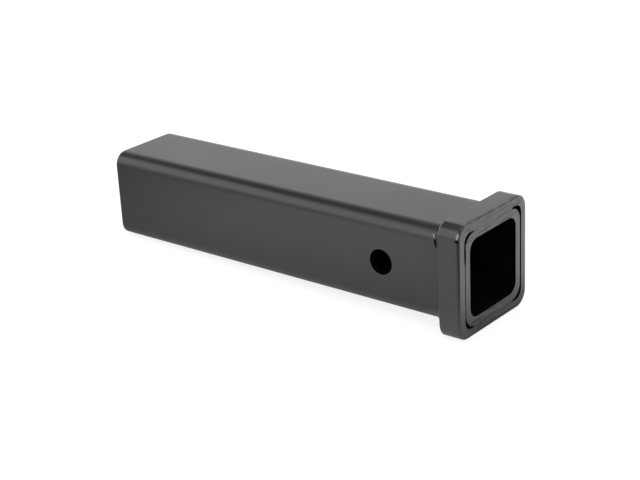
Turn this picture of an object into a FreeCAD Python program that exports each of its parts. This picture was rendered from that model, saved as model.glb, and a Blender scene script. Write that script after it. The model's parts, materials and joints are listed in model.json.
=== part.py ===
# Receiver tube: a length of square steel tube that takes a square hitch shank, with a square
# collar welded round its mouth to stiffen it and a cross hole for the hitch pin.
# Sizes are in millimetres. The origin is the middle of the pin hole on the tube's axis,
# +X runs out of the mouth, +Y runs along the pin and +Z is up.
import FreeCAD
import Part
import os

# Tube: 12 in of 2 1/2 in square tube, bored for a 2 in shank
TUBE_LENGTH = 304.8
TUBE_SIDE = 63.5
TUBE_WALL = 5.4
TUBE_CORNER_RADIUS = 9.25
BORE_CORNER_RADIUS = 7.3
MOUTH_EDGE_ROUND = 0.5
REAR_EDGE_ROUND = 0.4
REAR_BORE_CHAMFER = 0.3

# Pin hole: 11/16 in through both side walls, for a 5/8 in hitch pin
PIN_HOLE_DIAMETER = 17.5
PIN_HOLE_SETBACK = 65.4
PIN_HOLE_CHAMFER = 0.25

# Collar: square ring 77.6 mm across and 5/8 in long, flush with the tube's mouth
COLLAR_LENGTH = 15.9
COLLAR_WALL = 6.1
COLLAR_CORNER_RADIUS = 10.0
COLLAR_FRONT_ROUND = 1.2
COLLAR_BACK_ROUND = 0.8

# Fit of the collar on the tube: the gap on each flat, and how much tighter the collar's
# inside corner is than the tube's outside corner
COLLAR_GAP = 0.95
COLLAR_CORNER_RELIEF = 2.0
GROOVE_CHAMFER = 0.15

# Front welds: each fills the groove above or below the mouth, ground flush with the face.
# The flush part stops short of the corners, and its ends run out down into the groove
FRONT_WELD_DEPTH = 4.0
FRONT_WELD_STOP = 0.25
FRONT_WELD_RUNOUT = 3.0
FRONT_WELD_END_DEPTH = 2.0

# Rear welds: convex fillet beads behind the collar that wrap the tube's corners. A bare strip
# of the collar's back face is left outside them
REAR_WELD_LEG = 6.5
REAR_WELD_BULGE = 0.6
REAR_WELD_LAND = 1.1

# Sizes that follow from those above
MOUTH_X = PIN_HOLE_SETBACK
REAR_X = MOUTH_X - TUBE_LENGTH
COLLAR_BACK_X = MOUTH_X - COLLAR_LENGTH
TUBE_HALF = TUBE_SIDE / 2
BORE_SIDE = TUBE_SIDE - 2 * TUBE_WALL
COLLAR_BORE_SIDE = TUBE_SIDE + 2 * COLLAR_GAP
COLLAR_BORE_CORNER = TUBE_CORNER_RADIUS - COLLAR_CORNER_RELIEF
COLLAR_SIDE = COLLAR_BORE_SIDE + 2 * COLLAR_WALL
CORNER_CENTRE = TUBE_HALF - TUBE_CORNER_RADIUS
REAR_WELD_HEIGHT = COLLAR_GAP + COLLAR_WALL - COLLAR_BACK_ROUND - REAR_WELD_LAND

# How far a cutting solid runs past what it cuts, and how close two places count as one
OVERRUN = 5.0
SAME_PLACE = 1e-4

ORIGIN = FreeCAD.Vector(0, 0, 0)
ALONG_X = FreeCAD.Vector(1, 0, 0)
ALONG_Y = FreeCAD.Vector(0, 1, 0)
ALONG_Z = FreeCAD.Vector(0, 0, 1)


def square_bar(x_from, x_to, side, corner_radius):
    """A bar along X from a square section with rounded corners, centred on the axis."""
    half = side / 2
    block = Part.makeBox(x_to - x_from, side, side, FreeCAD.Vector(x_from, -half, -half))
    long_edges = [edge for edge in block.Edges if edge.tangentAt(0).cross(ALONG_X).Length < SAME_PLACE]
    return block.makeFillet(corner_radius, long_edges)


def rim(shape, x, side):
    """The edges that outline a square of this side in the plane at x."""
    def on_rim(vertex):
        reach = max(abs(vertex.Y), abs(vertex.Z))
        return abs(vertex.X - x) < SAME_PLACE and abs(reach - side / 2) < SAME_PLACE
    return [edge for edge in shape.Edges if all(on_rim(vertex) for vertex in edge.Vertexes)]


def hole_rims(shape, diameter, side):
    """The circular edges of a hole along Y where it leaves walls this far apart."""
    def is_rim(edge):
        if not isinstance(edge.Curve, Part.Circle):
            return False
        at_wall = abs(abs(edge.Curve.Center.y) - side / 2) < SAME_PLACE
        return at_wall and abs(edge.Curve.Radius - diameter / 2) < SAME_PLACE
    return [edge for edge in shape.Edges if is_rim(edge)]


def mirrored(shape, normal):
    return shape.mirror(ORIGIN, normal)


def receiver_tube():
    """The square tube with its bore, its pin hole and its dressed edges."""
    bar = square_bar(REAR_X, MOUTH_X, TUBE_SIDE, TUBE_CORNER_RADIUS)
    bar = bar.makeChamfer(GROOVE_CHAMFER, rim(bar, MOUTH_X, TUBE_SIDE))
    bar = bar.makeFillet(REAR_EDGE_ROUND, rim(bar, REAR_X, TUBE_SIDE))
    bore = square_bar(REAR_X - OVERRUN, MOUTH_X + OVERRUN, BORE_SIDE, BORE_CORNER_RADIUS)
    tube = bar.cut(bore)
    tube = tube.makeFillet(MOUTH_EDGE_ROUND, rim(tube, MOUTH_X, BORE_SIDE))
    tube = tube.makeChamfer(REAR_BORE_CHAMFER, rim(tube, REAR_X, BORE_SIDE))
    start = FreeCAD.Vector(0, -TUBE_HALF - OVERRUN, 0)
    drill = Part.makeCylinder(PIN_HOLE_DIAMETER / 2, TUBE_SIDE + 2 * OVERRUN, start, ALONG_Y)
    tube = tube.cut(drill)
    return tube.makeChamfer(PIN_HOLE_CHAMFER, hole_rims(tube, PIN_HOLE_DIAMETER, TUBE_SIDE))


def collar():
    """The square ring round the mouth, with rounded outside edges and a broken groove edge."""
    ring = square_bar(COLLAR_BACK_X, MOUTH_X, COLLAR_SIDE, COLLAR_CORNER_RADIUS)
    ring = ring.makeFillet(COLLAR_FRONT_ROUND, rim(ring, MOUTH_X, COLLAR_SIDE))
    ring = ring.makeFillet(COLLAR_BACK_ROUND, rim(ring, COLLAR_BACK_X, COLLAR_SIDE))
    bore = square_bar(COLLAR_BACK_X - OVERRUN, MOUTH_X + OVERRUN, COLLAR_BORE_SIDE, COLLAR_BORE_CORNER)
    ring = ring.cut(bore)
    return ring.makeChamfer(GROOVE_CHAMFER, rim(ring, MOUTH_X, COLLAR_BORE_SIDE))


def front_weld(tube, ring):
    """The upper groove weld: a flush fill that runs out down into the groove at both ends."""
    flush = CORNER_CENTRE - FRONT_WELD_STOP
    end = flush + FRONT_WELD_RUNOUT
    bottom = TUBE_HALF - TUBE_WALL / 2
    top = TUBE_HALF + COLLAR_GAP + COLLAR_WALL / 2
    outline = [
        FreeCAD.Vector(MOUTH_X, -flush, bottom),
        FreeCAD.Vector(MOUTH_X, flush, bottom),
        FreeCAD.Vector(MOUTH_X - FRONT_WELD_END_DEPTH, end, bottom),
        FreeCAD.Vector(MOUTH_X - FRONT_WELD_DEPTH, end, bottom),
        FreeCAD.Vector(MOUTH_X - FRONT_WELD_DEPTH, -end, bottom),
        FreeCAD.Vector(MOUTH_X - FRONT_WELD_END_DEPTH, -end, bottom),
    ]
    blank = Part.Face(Part.makePolygon(outline + outline[:1])).extrude(ALONG_Z * (top - bottom))
    return blank.cut(tube).cut(ring)


def weld_section(y):
    """The rear bead's section on the tube's top face: two flat legs and a convex face."""
    root = FreeCAD.Vector(COLLAR_BACK_X, y, TUBE_HALF)
    on_collar = root + ALONG_Z * REAR_WELD_HEIGHT
    on_tube = root - ALONG_X * REAR_WELD_LEG
    slope = on_tube - on_collar
    outward = FreeCAD.Vector(slope.z, 0, -slope.x).normalize()
    crown = (on_collar + on_tube) / 2 + outward * REAR_WELD_BULGE
    face_arc = Part.Arc(on_collar, crown, on_tube).toShape()
    legs = [Part.makeLine(on_tube, root), Part.makeLine(root, on_collar)]
    return Part.Face(Part.Wire([legs[0], legs[1], face_arc]))


def rear_weld():
    """The upper fillet bead: straight along the flat, round each corner, with domed ends."""
    straight = weld_section(-CORNER_CENTRE).extrude(ALONG_Y * (2 * CORNER_CENTRE))
    corner_axis = FreeCAD.Vector(0, CORNER_CENTRE, CORNER_CENTRE)
    corner = weld_section(CORNER_CENTRE).revolve(corner_axis, ALONG_X, -90)
    end_section = weld_section(CORNER_CENTRE).rotate(corner_axis, ALONG_X, -90)
    end_axis = FreeCAD.Vector(COLLAR_BACK_X, TUBE_HALF, CORNER_CENTRE)
    end = end_section.revolve(end_axis, ALONG_Y, -90)
    one_side = [corner, end]
    other_side = [mirrored(piece, ALONG_Y) for piece in one_side]
    return straight.multiFuse(one_side + other_side).removeSplitter()


def main():
    tube = receiver_tube()
    ring = collar()
    front_top = front_weld(tube, ring)
    rear_top = rear_weld()
    nodes = {
        "receiver_tube": tube,
        "collar": ring,
        "front_weld_top": front_top,
        "front_weld_bottom": mirrored(front_top, ALONG_Z),
        "rear_weld_top": rear_top,
        "rear_weld_bottom": mirrored(rear_top, ALONG_Z),
    }
    os.makedirs("parts", exist_ok=True)
    for name, shape in nodes.items():
        shape.exportStep("parts/" + name + ".step")


main()
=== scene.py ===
# Receiver tube: the coated tube, its collar and its welds, in a plain white studio.
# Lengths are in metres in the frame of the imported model: the origin is the middle of the
# hitch pin hole, +X runs out of the mouth, +Y along the pin and +Z up.
import json
import math

import bmesh
import bpy
from mathutils import Euler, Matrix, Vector, noise


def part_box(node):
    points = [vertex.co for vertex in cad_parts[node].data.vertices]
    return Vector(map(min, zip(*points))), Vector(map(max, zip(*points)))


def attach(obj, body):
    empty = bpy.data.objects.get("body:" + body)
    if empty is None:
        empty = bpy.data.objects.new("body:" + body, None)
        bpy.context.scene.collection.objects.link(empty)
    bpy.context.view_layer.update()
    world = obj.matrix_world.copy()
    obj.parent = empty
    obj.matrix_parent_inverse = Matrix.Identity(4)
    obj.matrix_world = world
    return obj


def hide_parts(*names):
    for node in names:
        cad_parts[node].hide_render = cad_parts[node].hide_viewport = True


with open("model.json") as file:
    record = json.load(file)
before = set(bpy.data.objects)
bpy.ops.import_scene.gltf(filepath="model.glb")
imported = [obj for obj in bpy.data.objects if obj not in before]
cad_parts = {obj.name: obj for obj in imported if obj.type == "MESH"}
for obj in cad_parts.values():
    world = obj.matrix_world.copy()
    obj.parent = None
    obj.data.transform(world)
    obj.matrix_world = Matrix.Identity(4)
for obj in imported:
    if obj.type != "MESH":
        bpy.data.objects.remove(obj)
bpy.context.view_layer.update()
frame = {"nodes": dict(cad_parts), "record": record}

MM = 0.001

# Sizes read from the frame
tube_low, tube_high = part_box("receiver_tube")
collar_low, collar_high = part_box("collar")
mounts = {mount["name"]: mount for mount in frame["record"]["mounts"]}
MOUTH_X = tube_high.x
REAR_X = tube_low.x
COLLAR_BACK_X = collar_low.x
TUBE_HALF = tube_high.z
COLLAR_HALF = collar_high.z
PIN_HOLE_RADIUS = mounts["pin_bore"]["dims"]["r_mm"] * MM

# Sizes of the section that the frame's boxes don't tell
TUBE_WALL = 5.4 * MM
TUBE_CORNER = 9.25 * MM
BORE_CORNER = 7.3 * MM
COLLAR_GAP = 0.95 * MM
COLLAR_BORE_CORNER = 6.2 * MM
COLLAR_BORE_SHIFT = 0.4 * MM
BORE_HALF = TUBE_HALF - TUBE_WALL
COLLAR_BORE_HALF = TUBE_HALF + COLLAR_GAP
CORNER_CENTRE = TUBE_HALF - TUBE_CORNER

# A corner's curve sets in over this length instead of at once, as on any rolled tube. The length
# is shorter where the corner has nearly flat stretches
CORNER_BLEND = 3.0 * MM
FACET_BLEND = 1.0 * MM

# The collar's outside corners. A corner is its blend and its arcs from the side face to the top
# or bottom face: the tilt in degrees where each arc ends, and its radius
COLLAR_FAR = (CORNER_BLEND, ((90, 10.0 * MM),))
COLLAR_NEAR_LOWER = (CORNER_BLEND, ((40, 12.5 * MM), (90, 7.0 * MM)))
COLLAR_NEAR_UPPER = (FACET_BLEND, (
    (19, 5.0 * MM),
    (28, 25.0 * MM),
    (57, 3.0 * MM),
    (62, 42.0 * MM),
    (90, 4.0 * MM),
))

# Edge rounds
MOUTH_ROUND = 0.5 * MM
GROOVE_ROUND = 0.15 * MM
REAR_ROUND = 0.4 * MM
REAR_BORE_ROUND = 0.3 * MM
COLLAR_FRONT_ROUND = 1.2 * MM
COLLAR_BACK_ROUND = 0.8 * MM
PIN_HOLE_ROUND = 0.25 * MM

# The collar's front round gets deeper toward the near side: by this share, from this far off the
# middle and over this distance. On the far side it has only a share of its depth
NEAR_GROWTH = 0.65
NEAR_START = 15 * MM
NEAR_STRETCH = 20 * MM
FAR_SHARE = 0.5

# Section of the rear beads
REAR_WELD_LEG = 6.5 * MM
REAR_WELD_HEIGHT = 5.15 * MM
REAR_WELD_BULGE = 0.6 * MM

# Ripples of the rear beads: each bows back by the crescent in the bead's middle, and strays by
# noise, which has this many cells per metre along the bead and in all across it. Steepness and
# fade are the powers that shape a ripple along the bead and across it
RIPPLE_PITCH = 2.2 * MM
RIPPLE_DEPTH = 0.16 * MM
RIPPLE_STEEPNESS = 1.5
RIPPLE_FADE = 0.5
CRESCENT = 1.6 * MM
RIPPLE_STRAY = 0.5 * MM
RIPPLE_CELLS_ALONG = 300
RIPPLE_CELLS_ACROSS = 2

# The wandering toe of the rear beads
TOE_WANDER = 0.25 * MM
TOE_CELLS_ALONG = 160

# How far a rear bead's end travels as it swings into the collar, and how much its section leans
# while it does, so that no two of its edges on the collar lie on one line
END_TRAVEL = 6.0 * MM
END_LEAN = 0.012

# The undercut at the toe of the upper bead's near end, and the drop of spatter above it
UNDERCUT_MIDDLE = Vector((43.1, -31.6, 22.2)) * MM
UNDERCUT_SIZE = Vector((0.7, 1.1, 2.9)) * MM
UNDERCUT_LEAN = math.radians(-16)
TOE_NOTCH = 1.2 * MM
NOTCH_TRAVEL = -37.8 * MM
NOTCH_REACH = 4.0 * MM
SPATTER_MIDDLE = Vector((41.9, -30.75, 26.8)) * MM
SPATTER_SIZE = Vector((0.75, 0.8, 1.5)) * MM
SPATTER_LEAN = math.radians(-8)

# Two dents in the collar's front edge at the near upper corner, which take the painted shade, the
# painted glint between them and the wider part of the groove beside them: their middles and half sizes
DENTS = (
    (Vector((63.7, -38.8, 30.0)) * MM, Vector((1.3, 0.6, 0.85)) * MM),
    (Vector((64.2, -36.2, 35.9)) * MM, Vector((0.45, 0.5, 0.65)) * MM),
)
CORNER_GLINT_MIDDLE = Vector((63.7, -37.7, 33.0)) * MM
CORNER_GLINT_SIZE = Vector((1.1, 1.4, 2.2)) * MM
GROOVE_WEAR_MIDDLE = Vector((65.4, -32.05, 20.0)) * MM
GROOVE_WEAR_SIZE = Vector((3.0, 1.0, 9.0)) * MM

# The painted shade on the tube, near-black where shade falls: it lies deeper under the outside than
# BORE_DEPTH, less deep than GROOVE_DEPTH in the groove, which starts at DARK_GROOVE_X, and this near
# to the undercut's middle where that lies deeper than UNDERCUT_DEPTH. The margins keep it off the end faces
DARK_GROOVE_X = COLLAR_BACK_X + 2 * MM
BORE_MARGIN = 0.05 * MM
FACE_MARGIN = 0.002 * MM
BORE_DEPTH = 0.6 * MM
GROOVE_DEPTH = 0.8 * MM
UNDERCUT_REACH = 3.5 * MM
UNDERCUT_DEPTH = 0.1 * MM

# The painted shade on the collar, near-black where shade falls: this deep behind the groove's wall,
# and this near to a dent's middle on its skin, which is where the squares of the distance in half
# sizes add up to about 1
COLLAR_GROOVE_DEPTH = 0.75 * MM
DENT_REACH = 1.2 * MM
DENT_SKIN = 1.15

# Fineness of the meshes
CORNER_STEPS = 32
BLEND_STEPS = 8
ROUND_STEPS = 5
HOLE_SIDES = 96
BEAD_STEP = 0.3 * MM
BEAD_ACROSS = 24
PEBBLE_SUBDIVISIONS = 3
SAME_PLACE = 0.0002 * MM

# Edges that turn by less than this are shaded smooth
SMOOTH_BELOW = math.radians(40)
BEAD_SMOOTH_BELOW = math.radians(50)

# Unevenness of a rounded lump: its share of the radius, and how many noise cells a radius has
PEBBLE_ROUGHNESS = 0.08
PEBBLE_CELLS = 1.5

# How far from the axis the pin hole's cutter reaches
DRILL_REACH = TUBE_HALF * 1.2

# What the noise of each rear bead starts from, and which way up it lies
TOP_SEED = 1.7
BOTTOM_SEED = 5.3
UPPER = 1
LOWER = -1


def even_corners(radius):
    """The far, the near upper and the near lower corner, each one arc of this radius."""
    return [(CORNER_BLEND, ((90, radius),))] * 3


def arc_spans(arcs):
    """The tilts in radians where each arc starts and ends, and its radius."""
    starts = [0] + [tilt for tilt, radius in arcs]
    return [(math.radians(start), math.radians(end), radius) for start, (end, radius) in zip(starts, arcs)]


def corner_point(half, spans, length):
    """A point on the corner between +Y and +Z, this far along from where its curve leaves the side
    face."""
    place = Vector((0, half, half))
    for start, end, radius in spans:
        place.z -= radius * (math.sin(end) - math.sin(start))
    if length < 0:
        return place + Vector((0, 0, length))
    for start, end, radius in spans:
        reached = min(start + length / radius, end)
        place.y += radius * (math.cos(reached) - math.cos(start))
        place.z += radius * (math.sin(reached) - math.sin(start))
        length = max(length - radius * (end - start), 0.0)
    return place - Vector((0, length, 0))


def corner_curve(half, blend, arcs):
    """The corner between +Y and +Z from the side face up, its curvature evened out."""
    spans = arc_spans(arcs)
    turn = sum(radius * (end - start) for start, end, radius in spans)
    curve = []
    for step in range(CORNER_STEPS + 1):
        middle = -blend / 2 + (turn + blend) * step / CORNER_STEPS
        lengths = [middle + blend * (i / BLEND_STEPS - 0.5) for i in range(BLEND_STEPS + 1)]
        total = sum((corner_point(half, spans, length) for length in lengths), Vector((0, 0, 0)))
        curve.append(total / len(lengths))
    return curve


def ring(x, half, corners, shift=0.0):
    """Points round a square with rounded corners in the plane at x, centred this far off the
    axis in Y. The corners are the far ones, the near upper one and the near lower one."""
    far, upper, lower = [corner_curve(half, blend, arcs) for blend, arcs in corners]
    points = [Vector((x, point.y, point.z)) for point in far]
    points += [Vector((x, -point.y, point.z)) for point in reversed(upper)]
    points += [Vector((x, -point.y, -point.z)) for point in lower]
    points += [Vector((x, point.y, -point.z)) for point in reversed(far)]
    return [point + Vector((0, shift, 0)) for point in points]


def rounded_edge(x, half, corners, size, along, outward, from_side, shift=0.0):
    """Rings round an edge: along is the way from the end face into the bar, outward points out
    of the material. from_side goes from the long side to the end face, or the other way."""
    rings = []
    for step in range(ROUND_STEPS + 1):
        angle = step * (math.pi / 2) / ROUND_STEPS
        inset_x = size * (1 - math.sin(angle))
        inset = outward * (size * (1 - math.cos(angle)))
        inner = [(blend, [(tilt, radius - inset) for tilt, radius in arcs]) for blend, arcs in corners]
        rings.append(ring(x + along * inset_x, half - inset, inner, shift))
    return rings if from_side else rings[::-1]


def mesh_object(name, vertices, faces):
    mesh = bpy.data.meshes.new(name)
    mesh.from_pydata([tuple(v) for v in vertices], [], faces)
    mesh.validate()
    obj = bpy.data.objects.new(name, mesh)
    bpy.context.scene.collection.objects.link(obj)
    return obj


def skin(name, rings, capped):
    """A skin through rings of equal count. Its ends are capped, or else joined to each other."""
    count = len(rings[0])
    last = len(rings) - 1
    faces = []
    for i in range(last if capped else last + 1):
        j = (i + 1) % len(rings)
        for a in range(count):
            b = (a + 1) % count
            faces.append((i * count + a, i * count + b, j * count + b, j * count + a))
    if capped:
        faces.append(tuple(range(count)))
        faces.append(tuple(reversed(range(last * count, (last + 1) * count))))
    return mesh_object(name, [point for points in rings for point in points], faces)


def face_outward(obj):
    work = bmesh.new()
    work.from_mesh(obj.data)
    bmesh.ops.recalc_face_normals(work, faces=work.faces)
    if work.calc_volume(signed=True) < 0:
        bmesh.ops.reverse_faces(work, faces=work.faces)
    work.to_mesh(obj.data)
    work.free()


def smooth(obj, angle):
    """Smooth shading with flat faces kept flat by normals weighted by area."""
    for polygon in obj.data.polygons:
        polygon.use_smooth = True
    obj.data.set_sharp_from_angle(angle=angle)
    weighted = obj.modifiers.new("flat_faces", "WEIGHTED_NORMAL")
    weighted.mode = "FACE_AREA"
    weighted.weight = 100
    weighted.keep_sharp = True


def drill(name, radius, half_width, rim, reach):
    """A round cutter along Y that flares at both walls, so that the hole's rims come out rounded."""
    profile = [(-reach, radius + rim)]
    for step in range(ROUND_STEPS + 1):
        angle = step * (math.pi / 2) / ROUND_STEPS
        profile.append((-half_width + rim * (1 - math.cos(angle)), radius + rim * (1 - math.sin(angle))))
    profile += [(-y, r) for y, r in reversed(profile)]
    turns = [side * 2 * math.pi / HOLE_SIDES for side in range(HOLE_SIDES)]
    rings = [[(r * math.cos(turn), y, r * math.sin(turn)) for turn in turns] for y, r in profile]
    cutter = skin(name, rings, True)
    face_outward(cutter)
    return cutter


def cut(obj, cutter):
    """Takes the cutter's shape out of the object, and removes the cutter."""
    modifier = obj.modifiers.new("cut", "BOOLEAN")
    modifier.operation = "DIFFERENCE"
    modifier.solver = "EXACT"
    modifier.object = cutter
    bpy.context.view_layer.update()
    evaluated = obj.evaluated_get(bpy.context.evaluated_depsgraph_get())
    result = bpy.data.meshes.new_from_object(evaluated)
    obj.modifiers.clear()
    old = obj.data
    obj.data = result
    bpy.data.meshes.remove(old)
    bpy.data.objects.remove(cutter)


def pebble(name, middle, half_sizes, lean=0):
    """A rounded lump that leans about Y."""
    mesh = bpy.data.meshes.new(name)
    work = bmesh.new()
    bmesh.ops.create_icosphere(work, subdivisions=PEBBLE_SUBDIVISIONS, radius=1.0)
    for vertex in work.verts:
        rough = 1 + PEBBLE_ROUGHNESS * noise.noise(vertex.co * PEBBLE_CELLS)
        vertex.co = Vector([a * b * rough for a, b in zip(vertex.co, half_sizes)])
        vertex.co.rotate(Euler((0, lean, 0)))
        vertex.co += middle
    work.to_mesh(mesh)
    work.free()
    obj = bpy.data.objects.new(name, mesh)
    bpy.context.scene.collection.objects.link(obj)
    return obj


def make_tube():
    outside = even_corners(TUBE_CORNER)
    inside = even_corners(BORE_CORNER)
    rings = rounded_edge(MOUTH_X, TUBE_HALF, outside, GROOVE_ROUND, -1, 1, False)
    rings += [ring(DARK_GROOVE_X, TUBE_HALF, outside)]
    rings += rounded_edge(REAR_X, TUBE_HALF, outside, REAR_ROUND, 1, 1, True)
    rings += rounded_edge(REAR_X, BORE_HALF, inside, REAR_BORE_ROUND, 1, -1, False)
    rings += rounded_edge(MOUTH_X, BORE_HALF, inside, MOUTH_ROUND, -1, -1, True)
    tube = skin("coated_tube", rings, False)
    face_outward(tube)
    cut(tube, drill("pin_drill", PIN_HOLE_RADIUS, TUBE_HALF, PIN_HOLE_ROUND, DRILL_REACH))
    cut(tube, pebble("undercut_cutter", UNDERCUT_MIDDLE, UNDERCUT_SIZE, UNDERCUT_LEAN))
    cut(tube, pebble("groove_wear_cutter", GROOVE_WEAR_MIDDLE, GROOVE_WEAR_SIZE))
    smooth(tube, SMOOTH_BELOW)
    return tube


def make_collar():
    outside = (COLLAR_FAR, COLLAR_NEAR_UPPER, COLLAR_NEAR_LOWER)
    rings = rounded_edge(MOUTH_X, COLLAR_HALF, outside, COLLAR_FRONT_ROUND, -1, 1, False)
    for point in [point for points in rings for point in points]:
        growth = min(max((-point.y - NEAR_START) / NEAR_STRETCH, 0), 1)
        share = 1 + NEAR_GROWTH * growth if point.y < 0 else FAR_SHARE
        point.x = MOUTH_X - (MOUTH_X - point.x) * share
    rings += rounded_edge(COLLAR_BACK_X, COLLAR_HALF, outside, COLLAR_BACK_ROUND, 1, 1, True)
    bore = (COLLAR_BORE_HALF, even_corners(COLLAR_BORE_CORNER), GROOVE_ROUND)
    rings += rounded_edge(COLLAR_BACK_X, *bore, 1, -1, False, COLLAR_BORE_SHIFT)
    rings += rounded_edge(MOUTH_X, *bore, -1, -1, True, COLLAR_BORE_SHIFT)
    collar = skin("coated_collar", rings, False)
    face_outward(collar)
    cut(collar, pebble("groove_wear_cutter", GROOVE_WEAR_MIDDLE, GROOVE_WEAR_SIZE))
    for middle, size in DENTS:
        cut(collar, pebble("dent_cutter", middle, size))
    smooth(collar, SMOOTH_BELOW)
    return collar


def bead_profile(across):
    """The rear bead's convex face: how far behind the collar and how high above the tube it is,
    from the collar at 0 to the tube at 1."""
    leg, height = REAR_WELD_LEG, REAR_WELD_HEIGHT
    chord = math.hypot(leg, height)
    crown = REAR_WELD_BULGE * 4 * across * (1 - across)
    return leg * across + crown * height / chord, height * (1 - across) + crown * leg / chord


def bead_path(length):
    """Where the bead's root is along its path from the top's middle, which way is up from the
    tube there, and how far the bead has swung round at its end."""
    turn = TUBE_CORNER * math.pi / 2
    if length < CORNER_CENTRE:
        return Vector((0, length, TUBE_HALF)), Vector((0, 0, 1)), 0.0
    if length < CORNER_CENTRE + turn:
        angle = (length - CORNER_CENTRE) / TUBE_CORNER
        up = Vector((0, math.sin(angle), math.cos(angle)))
        return Vector((0, CORNER_CENTRE, CORNER_CENTRE)) + up * TUBE_CORNER, up, 0.0
    swing = (length - CORNER_CENTRE - turn) / END_TRAVEL * math.pi / 2
    return Vector((0, TUBE_HALF, CORNER_CENTRE)), Vector((0, 1, 0)), min(swing, math.pi / 2)


def bead_dip(travel, across, seed):
    """How deep the ripples are at this place of the bead."""
    inner = math.sin(math.pi * across)
    cell = Vector((travel * RIPPLE_CELLS_ALONG, across * RIPPLE_CELLS_ACROSS, seed))
    phase = (travel + CRESCENT * inner + RIPPLE_STRAY * noise.noise(cell)) / RIPPLE_PITCH
    return RIPPLE_DEPTH * (phase - math.floor(phase)) ** RIPPLE_STEEPNESS * inner ** RIPPLE_FADE


def bead_row(travel, seed, flip):
    """The bead's section at this place of its path: its face from the collar to the tube, and
    then its root. flip is UPPER or LOWER."""
    side = -1 if travel < 0 else 1
    root, up, swing = bead_path(abs(travel))
    row = []
    for j in range(BEAD_ACROSS + 1):
        across = j / BEAD_ACROSS
        back, high = bead_profile(across)
        cell = Vector((travel * TOE_CELLS_ALONG, seed, across))
        wander = TOE_WANDER * (0.5 + 0.5 * noise.noise(cell))
        if flip == UPPER:
            wander += TOE_NOTCH * max(0, 1 - ((travel - NOTCH_TRAVEL) / NOTCH_REACH) ** 2) ** 2
        scale = 1 - (wander + bead_dip(travel, across, seed)) / REAR_WELD_LEG
        back *= scale
        high *= scale
        sunk = back * math.sin(swing) + END_LEAN * swing * high
        row.append(root + up * high - Vector((back * math.cos(swing), 0, sunk)))
    row.append(root)
    return [Vector((COLLAR_BACK_X + point.x, side * point.y, flip * point.z)) for point in row]


def join(obj, other):
    """Adds the other object's mesh to this one's, and removes the other."""
    work = bmesh.new()
    work.from_mesh(obj.data)
    work.from_mesh(other.data)
    work.to_mesh(obj.data)
    work.free()
    bpy.data.objects.remove(other)


def merge_points(obj):
    work = bmesh.new()
    work.from_mesh(obj.data)
    bmesh.ops.remove_doubles(work, verts=work.verts, dist=SAME_PLACE)
    work.to_mesh(obj.data)
    work.free()


def make_rear_weld(name, seed, flip):
    """A fillet bead with the ripples that the moving arc leaves. It runs along the flat, round
    both corners and swings into the collar at its ends."""
    reach = CORNER_CENTRE + TUBE_CORNER * math.pi / 2 + END_TRAVEL
    steps = int(2 * reach / BEAD_STEP)
    rows = [bead_row(-reach + 2 * reach * i / steps, seed, flip) for i in range(steps + 1)]
    bead = skin(name, rows, True)
    if flip == UPPER:
        join(bead, pebble("spatter", SPATTER_MIDDLE, SPATTER_SIZE, SPATTER_LEAN))
    merge_points(bead)
    face_outward(bead)
    smooth(bead, BEAD_SMOOTH_BELOW)
    return bead


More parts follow.
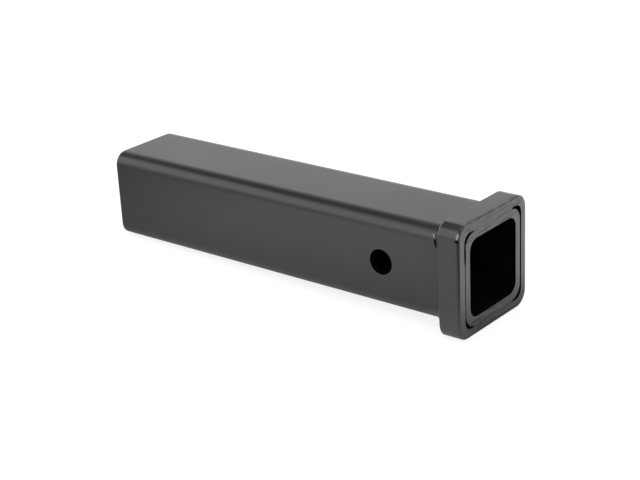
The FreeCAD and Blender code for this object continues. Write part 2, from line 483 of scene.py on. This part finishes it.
class Graph:
    """The nodes of a material or of the world. Each call adds a node and returns its output."""

    def __init__(self, owner):
        owner.use_nodes = True
        self.nodes = owner.node_tree.nodes
        self.links = owner.node_tree.links

    def feed(self, socket, value):
        """Links the socket that gives the value, or sets the number or triple that it is."""
        if isinstance(value, bpy.types.NodeSocket):
            self.links.new(value, socket)
        else:
            socket.default_value = value

    def maths(self, operation, *values):
        node = self.nodes.new("ShaderNodeMath")
        node.operation = operation
        for socket, value in zip(node.inputs, values):
            self.feed(socket, value)
        return node.outputs["Value"]

    def vector_maths(self, operation, output, *values):
        node = self.nodes.new("ShaderNodeVectorMath")
        node.operation = operation
        for socket, value in zip(node.inputs, values):
            self.feed(socket, value)
        return node.outputs[output]

    def product(self, first, *others):
        for other in others:
            first = self.maths("MULTIPLY", first, other)
        return first

    def add_share(self, share, amount, before):
        """The value before, raised by the amount where the share is 1."""
        return self.maths("MULTIPLY_ADD", share, amount, before)

    def between(self, share, start, end):
        """From start where the share is 0 to end where it is 1."""
        return self.maths("MULTIPLY_ADD", share, end - start, start)

    def rest_of(self, share):
        return self.maths("SUBTRACT", 1.0, share)

    def soft_step(self, value, start, end):
        """0 before start and 1 past end, whichever of the two is the lower one."""
        node = self.nodes.new("ShaderNodeMapRange")
        node.interpolation_type = "SMOOTHSTEP"
        node.inputs["From Min"].default_value = min(start, end)
        node.inputs["From Max"].default_value = max(start, end)
        node.inputs["To Min"].default_value = 0.0 if start < end else 1.0
        node.inputs["To Max"].default_value = 1.0 if start < end else 0.0
        self.feed(node.inputs["Value"], value)
        return node.outputs["Result"]

    def soft_turn(self, angle, start, end):
        """A soft step between two angles in degrees."""
        return self.soft_step(angle, math.radians(start), math.radians(end))

    def split(self, place):
        node = self.nodes.new("ShaderNodeSeparateXYZ")
        self.feed(node.inputs["Vector"], place)
        return [node.outputs[axis] for axis in "XYZ"]

    def noise(self, place, scale, detail, stretch=(1, 1, 1)):
        """Noise that averages 0.5, drawn out along the axes where stretch is below 1."""
        mapping = self.nodes.new("ShaderNodeMapping")
        mapping.inputs["Scale"].default_value = stretch
        self.feed(mapping.inputs["Vector"], place)
        texture = self.nodes.new("ShaderNodeTexNoise")
        texture.inputs["Scale"].default_value = scale
        texture.inputs["Detail"].default_value = detail
        self.feed(texture.inputs["Vector"], mapping.outputs["Vector"])
        return texture.outputs["Fac"]

    def bump(self, height, strength, distance, before=None):
        node = self.nodes.new("ShaderNodeBump")
        node.inputs["Distance"].default_value = distance
        self.feed(node.inputs["Strength"], strength)
        self.feed(node.inputs["Height"], height)
        if before:
            self.feed(node.inputs["Normal"], before)
        return node.outputs["Normal"]

    def grey(self, shade):
        node = self.nodes.new("ShaderNodeCombineColor")
        for channel in ("Red", "Green", "Blue"):
            self.feed(node.inputs[channel], shade)
        return node.outputs["Color"]


# How strongly any coat bends light
COAT_IOR = 1.5

# The coat's cloudiness, its finer speckle and its orange peel: noise cells per metre and detail
CLOUD = (24, 3)
SPECK = (650, 2)
PEEL = (900, 2)
PEEL_STRENGTH = 0.12
PEEL_DEPTH = 0.03 * MM

# The shade where there is no cloud or speck, and what these add, as shares of the coat's tone
PLAIN_SHADE = 0.6
CLOUD_SHADE = 0.5
SPECK_SHADE = 0.3

# What is taken off the coat's roughness, and what cloud and speck add to it
ROUGHNESS_DROP = 0.05
CLOUD_ROUGHNESS = 0.08
SPECK_ROUGHNESS = 0.04

# Grinding marks round the front welds: where they set in and are full, along the tube, up or
# down from the axis and across, then the noise that draws them and the roughness they add
GROUND_ALONG = (MOUTH_X - 4 * MM, MOUTH_X - 1 * MM)
GROUND_UP = (24 * MM, 28 * MM)
GROUND_ACROSS = (36 * MM, 29 * MM)
GROUND_STREAKS = (430, 2, (1, 0.14, 1))
GROUND_DEPTH = 1.4 * MM
GROUND_ROUGHNESS = 0.1

# Painted glints on the collar's back edge at the near upper corner, paler patches in place of
# highlights: how much paler they are, where they set in and are full along X, Y and Z, and their noise
BACK_GLINT_TONE = 0.14
BACK_GLINT_ALONG = (COLLAR_BACK_X + 1.0 * MM, COLLAR_BACK_X + 0.3 * MM)
BACK_GLINT_ACROSS = (-19 * MM, -29 * MM)
BACK_GLINT_UP = (29.5 * MM, 33 * MM)
BACK_GLINT_NOISE = (480, 2)
BACK_GLINT_PATCHES = (0.42, 0.56)

# The painted glint between the dents, a paler patch in place of a highlight: how much paler it is,
# and its soft edge as shares of its size
CORNER_GLINT_TONE = 0.12
CORNER_GLINT_EDGE = (1.1, 0.7)

# The collar's upper front edge, paler in patches as painted light that breaks up the dark line its
# round reflects: how high the edge sets in and is full below where the top and the mouth's face would
# meet, and the noise of the patches
EDGE_SHEEN_TONE = 0.04
EDGE_SHEEN_EDGE = (-1.5 * MM, -0.9 * MM)
EDGE_SHEEN_NOISE = (190, 2)
EDGE_SHEEN_PATCHES = (0.42, 0.62)

# The drop of spatter, painted paler as a painted glint: how much paler it is, and where that sets in and is
# full
SPATTER_GLINT_TONE = 0.2
SPATTER_GLINT_EDGE = (2.2 * MM, 1.2 * MM)


def collar_painted_highlights(graph, place, shade):
    """Painted highlights: pale glints on the back edge, a pale glint between the dents and paler patches
    on the upper front edge.
    """
    x, y, z = graph.split(place)
    # Painted glints: paler patches along the back edge at the near upper corner
    edge = graph.soft_step(x, *BACK_GLINT_ALONG)
    near = graph.soft_step(y, *BACK_GLINT_ACROSS)
    high = graph.soft_step(z, *BACK_GLINT_UP)
    patches = graph.soft_step(graph.noise(place, *BACK_GLINT_NOISE), *BACK_GLINT_PATCHES)
    shade = graph.add_share(graph.product(edge, near, high, patches), BACK_GLINT_TONE, shade)

    # Painted glint: a paler patch between the dents
    offset = graph.vector_maths("SUBTRACT", "Vector", place, CORNER_GLINT_MIDDLE)
    in_sizes = graph.vector_maths("DIVIDE", "Vector", offset, CORNER_GLINT_SIZE)
    reach = graph.vector_maths("LENGTH", "Value", in_sizes)
    shade = graph.add_share(graph.soft_step(reach, *CORNER_GLINT_EDGE), CORNER_GLINT_TONE, shade)

    # Painted highlight: paler patches along the upper front edge
    rise = graph.maths("SUBTRACT", graph.maths("ADD", x, z), MOUTH_X + COLLAR_HALF)
    front_edge = graph.soft_step(rise, *EDGE_SHEEN_EDGE)
    sheen_patches = graph.soft_step(graph.noise(place, *EDGE_SHEEN_NOISE), *EDGE_SHEEN_PATCHES)
    return graph.add_share(graph.product(front_edge, sheen_patches), EDGE_SHEEN_TONE, shade)


def spatter_glint(graph, place, shade):
    """A painted glint: the drop of spatter, paler than the bead."""
    distance = graph.vector_maths("DISTANCE", "Value", place, SPATTER_MIDDLE)
    return graph.add_share(graph.soft_step(distance, *SPATTER_GLINT_EDGE), SPATTER_GLINT_TONE, shade)


def no_marks(graph, place, shade):
    return shade


def coat_material(name, tone, roughness, grinding, marks):
    """Satin powder coat over steel: slightly cloudy, with fine orange peel. Grinding marks show
    through it round the welds at the mouth, and marks adds the one piece's painted highlights."""
    material = bpy.data.materials.new(name)
    graph = Graph(material)
    shader = graph.nodes["Principled BSDF"]
    shader.inputs["IOR"].default_value = COAT_IOR
    place = graph.nodes.new("ShaderNodeTexCoord").outputs["Object"]
    x, y, z = graph.split(place)

    cloud = graph.noise(place, *CLOUD)
    speck = graph.noise(place, *SPECK)
    shade = graph.add_share(cloud, tone * CLOUD_SHADE, tone * PLAIN_SHADE)
    shade = graph.add_share(speck, tone * SPECK_SHADE, shade)
    # The piece's own painted highlights, if it has any
    shade = marks(graph, place, shade)
    graph.feed(shader.inputs["Base Color"], graph.grey(shade))

    front = graph.soft_step(x, *GROUND_ALONG)
    band = graph.soft_step(graph.maths("ABSOLUTE", z), *GROUND_UP)
    middle = graph.soft_step(graph.maths("ABSOLUTE", y), *GROUND_ACROSS)
    ground = graph.product(band, middle, front, grinding)
    gloss = graph.add_share(cloud, CLOUD_ROUGHNESS, roughness - ROUGHNESS_DROP)
    gloss = graph.add_share(speck, SPECK_ROUGHNESS, gloss)
    gloss = graph.add_share(ground, GROUND_ROUGHNESS, gloss)
    graph.feed(shader.inputs["Roughness"], gloss)

    marked = graph.bump(graph.noise(place, *GROUND_STREAKS), ground, GROUND_DEPTH)
    peeled = graph.bump(graph.noise(place, *PEEL), PEEL_STRENGTH, PEEL_DEPTH, marked)
    graph.feed(shader.inputs["Normal"], peeled)
    return material


# The painted shade's patches: noise cells per metre and detail, then the shade and the roughness
# where there is no patch, and what the patches add
DARK_PATCHES = (60, 3)
DARK_SHADE = 0.0004
DARK_PATCH_SHADE = 0.002
DARK_ROUGHNESS = 0.7
DARK_PATCH_ROUGHNESS = 0.2
DARK_SPECULAR = 0.03


def painted_shade_material():
    """Painted shade: a near-black, dull colour inside the bore, down in the groove, in the undercut and
    in the dents, where hardly any light gets.
    """
    material = bpy.data.materials.new("bore_painted_shade")
    graph = Graph(material)
    shader = graph.nodes["Principled BSDF"]
    shader.inputs["Specular IOR Level"].default_value = DARK_SPECULAR
    place = graph.nodes.new("ShaderNodeTexCoord").outputs["Object"]
    patch = graph.noise(place, *DARK_PATCHES)
    shade = graph.add_share(patch, DARK_PATCH_SHADE, DARK_SHADE)
    graph.feed(shader.inputs["Base Color"], graph.grey(shade))
    gloss = graph.add_share(patch, DARK_PATCH_ROUGHNESS, DARK_ROUGHNESS)
    graph.feed(shader.inputs["Roughness"], gloss)
    return material


def depth_in(point, half, radius):
    """How far inside a long square bar with rounded corners a point lies."""
    reach_y = max(abs(point.y) - half + radius, 0)
    reach_z = max(abs(point.z) - half + radius, 0)
    return radius - math.hypot(reach_y, reach_z)


def in_lump(point, middle, half_sizes):
    """Whether a point lies in a rounded lump or on its skin."""
    return sum((a / b) ** 2 for a, b in zip(point - middle, half_sizes)) < DENT_SKIN


def is_dark_on_tube(point):
    """Whether a point is in the bore, down in the groove or in the undercut."""
    depth = depth_in(point, TUBE_HALF, TUBE_CORNER)
    in_bore = depth > BORE_DEPTH and REAR_X + REAR_BORE_ROUND < point.x < MOUTH_X - BORE_MARGIN
    in_groove = depth < GROOVE_DEPTH and DARK_GROOVE_X < point.x < MOUTH_X - FACE_MARGIN
    by_undercut = (point - UNDERCUT_MIDDLE).length < UNDERCUT_REACH
    return in_bore or in_groove or (by_undercut and point.y > -TUBE_HALF + UNDERCUT_DEPTH)


def is_dark_on_collar(point):
    """Whether a point is down in the groove or in a dent."""
    shifted = point - Vector((0, COLLAR_BORE_SHIFT, 0))
    in_groove = depth_in(shifted, COLLAR_BORE_HALF, COLLAR_BORE_CORNER) > -COLLAR_GROOVE_DEPTH
    in_dent = any((point - middle).length < DENT_REACH and in_lump(point, middle, size)
                  for middle, size in DENTS)
    between_faces = COLLAR_BACK_X + FACE_MARGIN < point.x < MOUTH_X - FACE_MARGIN
    return (in_groove or in_dent) and between_faces


def coat_piece(piece, coat, dark, is_dark):
    """Gives a piece its coat, and the painted shade on the faces that lie in the dark."""
    piece.data.materials.append(coat)
    piece.data.materials.append(dark)
    for polygon in piece.data.polygons:
        if is_dark(polygon.center):
            polygon.material_index = 1


# The coats: name, tone, roughness, strength of the grinding marks and the piece's own painted
# highlights, if any
COATS = (
    ("black_coat", 0.0115, 0.3, 1.0, no_marks),
    ("collar_coat", 0.016, 0.3, 1.0, collar_painted_highlights),
    ("ground_weld_coat", 0.013, 0.32, 1.0, no_marks),
    ("weld_coat", 0.0115, 0.27, 0.0, spatter_glint),
)

tube = make_tube()
collar = make_collar()
coats = {coat[0]: coat_material(*coat) for coat in COATS}
# Painted shade for the bore, the groove, the undercut and the dents
painted_shade_coat = painted_shade_material()
coat_piece(tube, coats["black_coat"], painted_shade_coat, is_dark_on_tube)
coat_piece(collar, coats["collar_coat"], painted_shade_coat, is_dark_on_collar)
rear_top = make_rear_weld("rippled_bead_top", TOP_SEED, UPPER)
rear_bottom = make_rear_weld("rippled_bead_bottom", BOTTOM_SEED, LOWER)
rear_top.data.materials.append(coats["weld_coat"])
rear_bottom.data.materials.append(coats["weld_coat"])
for piece, node, slot in (
    (tube, "receiver_tube", "black_coat"),
    (collar, "collar", "collar_coat"),
    (rear_top, "rear_weld_top", "weld_coat"),
    (rear_bottom, "rear_weld_bottom", "weld_coat"),
):
    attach(piece, "root")
    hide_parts(node)
for name in ("front_weld_top", "front_weld_bottom"):
    frame["nodes"][name].data.materials.clear()
    frame["nodes"][name].data.materials.append(coats["ground_weld_coat"])


# Studio
def toward(azimuth, elevation):
    """The direction at this azimuth, from the -Y side towards +X, and elevation in degrees."""
    a = math.radians(azimuth)
    e = math.radians(elevation)
    return Vector((math.sin(a) * math.cos(e), -math.cos(a) * math.cos(e), math.sin(e)))


# Broad patches of the studio's sky: azimuth from the -Y side towards +X, elevation, their half
# widths, the width of their soft edge, all in degrees, and the brightness they add or take
SKY_LEVEL = 1.1
SKY_PATCHES = (
    (-45, 30, 36, 21.5, 7, 1.0),
    (-12, 22, 12, 16, 6, 4.0),
    (160, 32, 28, 18, 8, 0.4),
    (-150, 10, 22, 14, 12, 0.42),
    (-130, 48, 35, 26, 8, -0.5),
    (-92, 8, 26, 18, 8, 1.4),
)

# The dark part of the ceiling: its middle, the radii where it starts and is full, all in
# degrees, and the share of the light that it takes away
DARK_MIDDLE = (-97, 50)
DARK_START = 24
DARK_FULL = 10
DARK_SHARE = 0.85


def add_world():
    world = bpy.data.worlds.new("studio")
    bpy.context.scene.world = world
    graph = Graph(world)
    background = graph.nodes["Background"]
    background.inputs["Color"].default_value = (1, 1, 1, 1)
    place = graph.nodes.new("ShaderNodeTexCoord").outputs["Generated"]
    x, y, z = graph.split(place)
    azimuth = graph.maths("ARCTAN2", x, graph.maths("MULTIPLY", y, -1.0))
    elevation = graph.maths("ARCSINE", z)
    total = SKY_LEVEL
    for middle, height, wide, tall, edge, gain in SKY_PATCHES:
        turn = graph.maths("SUBTRACT", azimuth, math.radians(middle))
        across = graph.maths("ABSOLUTE", graph.maths("WRAP", turn, math.pi, -math.pi))
        upright = graph.maths("ABSOLUTE", graph.maths("SUBTRACT", elevation, math.radians(height)))
        in_width = graph.soft_turn(across, wide, wide - edge)
        in_height = graph.soft_turn(upright, tall, tall - edge)
        total = graph.add_share(graph.product(in_width, in_height), gain, total)
    nearness = graph.vector_maths("DOT_PRODUCT", "Value", place, toward(*DARK_MIDDLE))
    dark = graph.soft_turn(graph.maths("ARCCOSINE", nearness), DARK_START, DARK_FULL)
    total = graph.product(total, graph.between(dark, 1.0, 1.0 - DARK_SHARE))
    seen = graph.nodes.new("ShaderNodeLightPath").outputs["Is Camera Ray"]
    dimmed = graph.product(total, graph.rest_of(seen))
    graph.feed(background.inputs["Strength"], graph.maths("ADD", dimmed, seen))


# How bright the table is in the coat's reflections behind the part, beside its mouth and ahead of
# it, and to the camera
TABLE_REAR = 0.4
TABLE_MOUTH = 1.5
TABLE_AHEAD = 2.1
TABLE_SEEN = 1.2

# The share of the brightness that is left close beside the tube, under the part and right at the
# collar's near lower edge
BESIDE_SHARE = 0.6
UNDER_SHARE = 0.15
CONTACT_SHARE = 0.6

# The share of this light that the camera and the reflections see in place of the table's surface
TABLE_SEEN_SHARE = 0.68
TABLE_MIRRORED_SHARE = 0.85

# Where each of these sets in and is full. Along is measured from the collar's back toward the
# mouth, past from the mouth on, and inward from the collar's near side toward the middle
REAR_TO_MOUTH_ALONG = (-0.45, -0.2)
BESIDE_INWARD = (-0.1, 0.0)
BESIDE_ALONG = (0.0, -0.03)
UNDER_INWARD = (-0.003, 0.026)
CONTACT_ALONG = (-0.01, -0.002)
CONTACT_PAST = (0.004, -0.004)
CONTACT_INWARD = (-0.018, 0.004)
AHEAD_PAST = (-0.008, 0.062)
AHEAD_SLANT = 0.15
AHEAD_CORNER_INWARD = (0.035, 0.0)
AHEAD_CORNER_SHIFT = 0.018

# Turns round the mouth's near lower corner, in degrees from the -Y side towards +X: where the
# light ahead takes over, and the dark sector with the distances where it sets in and is full
TURN_TO_AHEAD = (70, 120)
DARK_TURN_START = (-36, -16)
DARK_TURN_END = (120, 100)
DARK_DISTANCE = (-0.02, 0.15)

TABLE_SIZE = 3.0
TABLE_DROP = 0.2 * MM
TABLE_COLOUR = (0.8, 0.8, 0.8, 1)


def table_light(graph, place):
    """How bright the table is in reflections: beside the tube it grows toward the mouth and dims
    under the part, and ahead of the mouth it grows with the distance."""
    along, across = graph.split(place)[:2]
    past = graph.maths("SUBTRACT", along, MOUTH_X - COLLAR_BACK_X)
    inward = graph.maths("ADD", across, COLLAR_HALF)
    turn = graph.maths("ARCTAN2", past, graph.maths("MULTIPLY", inward, -1.0))

    side = graph.between(graph.soft_step(along, *REAR_TO_MOUTH_ALONG), TABLE_REAR, TABLE_MOUTH)
    beside = graph.product(graph.soft_step(inward, *BESIDE_INWARD), graph.soft_step(along, *BESIDE_ALONG))
    under = graph.soft_step(inward, *UNDER_INWARD)
    by_collar = graph.product(graph.soft_step(along, *CONTACT_ALONG), graph.soft_step(past, *CONTACT_PAST))
    contact = graph.product(by_collar, graph.soft_step(inward, *CONTACT_INWARD))
    for place, share in ((beside, BESIDE_SHARE), (under, UNDER_SHARE), (contact, CONTACT_SHARE)):
        side = graph.product(side, graph.between(place, 1.0, share))

    beyond = graph.add_share(inward, AHEAD_SLANT, past)
    by_corner = graph.soft_step(inward, *AHEAD_CORNER_INWARD)
    beyond = graph.add_share(by_corner, AHEAD_CORNER_SHIFT, beyond)
    ahead = graph.product(graph.soft_step(beyond, *AHEAD_PAST), TABLE_AHEAD)
    to_ahead = graph.soft_turn(turn, *TURN_TO_AHEAD)
    level = graph.maths("ADD", graph.product(ahead, to_ahead), graph.product(side, graph.rest_of(to_ahead)))

    squares = [graph.maths("POWER", value, 2.0) for value in (past, inward)]
    distance = graph.maths("SQRT", graph.maths("ADD", *squares))
    dark = graph.product(graph.soft_turn(turn, *DARK_TURN_START), graph.soft_turn(turn, *DARK_TURN_END),
                         graph.soft_step(distance, *DARK_DISTANCE))
    return graph.product(level, graph.rest_of(dark))


def table_material():
    material = bpy.data.materials.new("white_table")
    graph = Graph(material)
    graph.nodes.remove(graph.nodes["Principled BSDF"])
    diffuse = graph.nodes.new("ShaderNodeBsdfDiffuse")
    diffuse.inputs["Color"].default_value = TABLE_COLOUR
    glow = graph.nodes.new("ShaderNodeEmission")
    path = graph.nodes.new("ShaderNodeLightPath")
    seen = path.outputs["Is Camera Ray"]
    mirrored = path.outputs["Is Glossy Ray"]
    level = table_light(graph, graph.nodes.new("ShaderNodeTexCoord").outputs["Object"])
    not_seen = graph.product(level, graph.rest_of(seen))
    graph.feed(glow.inputs["Strength"], graph.add_share(seen, TABLE_SEEN, not_seen))
    share = graph.product(seen, TABLE_SEEN_SHARE)
    share = graph.add_share(mirrored, TABLE_MIRRORED_SHARE, share)
    mix = graph.nodes.new("ShaderNodeMixShader")
    graph.feed(mix.inputs["Fac"], share)
    graph.feed(mix.inputs[1], diffuse.outputs["BSDF"])
    graph.feed(mix.inputs[2], glow.outputs["Emission"])
    graph.feed(graph.nodes["Material Output"].inputs["Surface"], mix.outputs["Shader"])
    return material


def add_floor():
    """A pale table, tilted a little so that the collar and the rear end both touch it."""
    rear_contact = Vector((REAR_X, 0, -TUBE_HALF))
    front_contact = Vector((COLLAR_BACK_X, 0, -COLLAR_HALF))
    slope = math.atan2(rear_contact.z - front_contact.z, front_contact.x - rear_contact.x)
    corners = [(x * TABLE_SIZE, y * TABLE_SIZE, 0) for x, y in ((-1, -1), (1, -1), (1, 1), (-1, 1))]
    table = mesh_object("table", corners, [(0, 1, 2, 3)])
    table.location = front_contact - Vector((0, 0, TABLE_DROP))
    table.rotation_euler = (0, slope, 0)
    table.data.materials.append(table_material())


# The camera: focal length and sensor width in millimetres, place, and turns in degrees
CAMERA_LENS = 85.501
CAMERA_SENSOR = 36
CAMERA_NEAREST = 0.01
CAMERA_PLACE = (0.54621, -0.75052, 0.38266)
CAMERA_TURNS = (67.9355, 2.7619, 38.5451)


def add_camera():
    camera = bpy.data.cameras.new("camera")
    camera.lens = CAMERA_LENS
    camera.sensor_width = CAMERA_SENSOR
    camera.clip_start = CAMERA_NEAREST
    obj = bpy.data.objects.new("camera", camera)
    obj.location = CAMERA_PLACE
    obj.rotation_euler = [math.radians(turn) for turn in CAMERA_TURNS]
    bpy.context.scene.collection.objects.link(obj)
    bpy.context.scene.camera = obj


add_world()
add_floor()
add_camera()
view = bpy.context.scene.view_settings
view.view_transform = "Standard"
